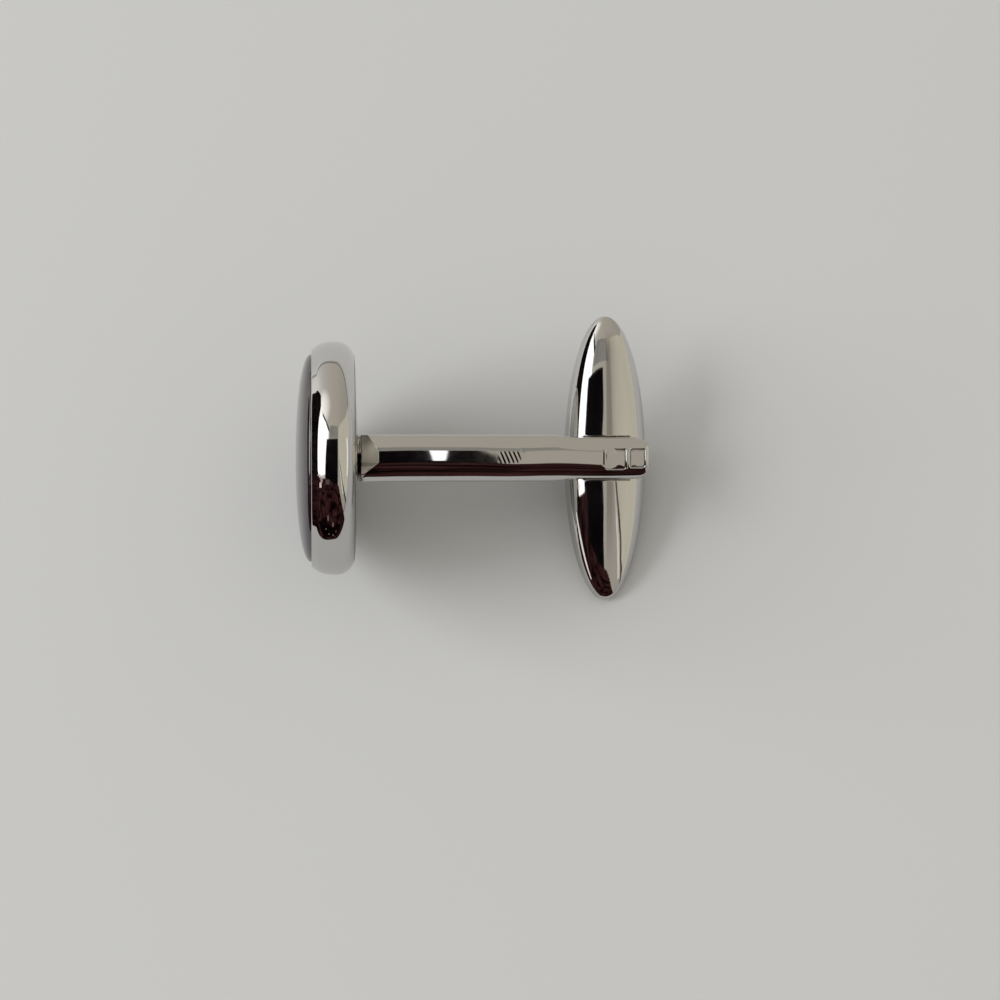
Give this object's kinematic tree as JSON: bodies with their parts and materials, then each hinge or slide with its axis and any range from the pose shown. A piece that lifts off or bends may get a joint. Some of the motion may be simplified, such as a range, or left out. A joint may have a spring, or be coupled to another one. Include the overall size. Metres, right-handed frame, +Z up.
{
  "type": "cufflink",
  "caption": "Swivel cufflink with a round domed face, a forked arm and a torpedo toggle that turns on a riveted pin between the arms.",
  "frame": {"origin": "middle of the footprint, on the table that the cufflink lies on", "axes": "+Z up from the table, +X from the round face towards the toggle along the table, +Y across; the link lies pitched 13.8 degrees and rolled 18.3 degrees on its rim, its rear arm and one toggle tip"},
  "size_m": [0.023, 0.0172, 0.0144],
  "materials": {
    "silver_case": "mirror-polished silver",
    "silver_fork": "polished silver, slightly wavy",
    "silver_toggle": "mirror-polished silver",
    "inlay_stone": "polished, near black",
    "cement": "set resin cement",
    "solder": "dull silver solder",
    "spring_steel": "spring strip, bare"
  },
  "bodies": {
    "link": {"face_rim": "silver_case", "case_back": "silver_case", "inlay": "inlay_stone", "cement_bed": "cement", "yoke": "silver_fork", "solder_seam": "solder", "pivot_pin": "silver_fork"},
    "toggle": {"toggle_front_shell": "silver_toggle", "toggle_rear_shell": "silver_toggle", "detent_spring": "spring_steel"}
  },
  "joints": [
    {"name": "toggle_swivel", "type": "hinge", "parent": "link", "child": "toggle", "pos_m": [0.00841, 0, 0.00308], "axis": [0.2264, -0.3148, 0.9218], "continuous": true, "deforming": ["detent_spring"]}
  ]
}
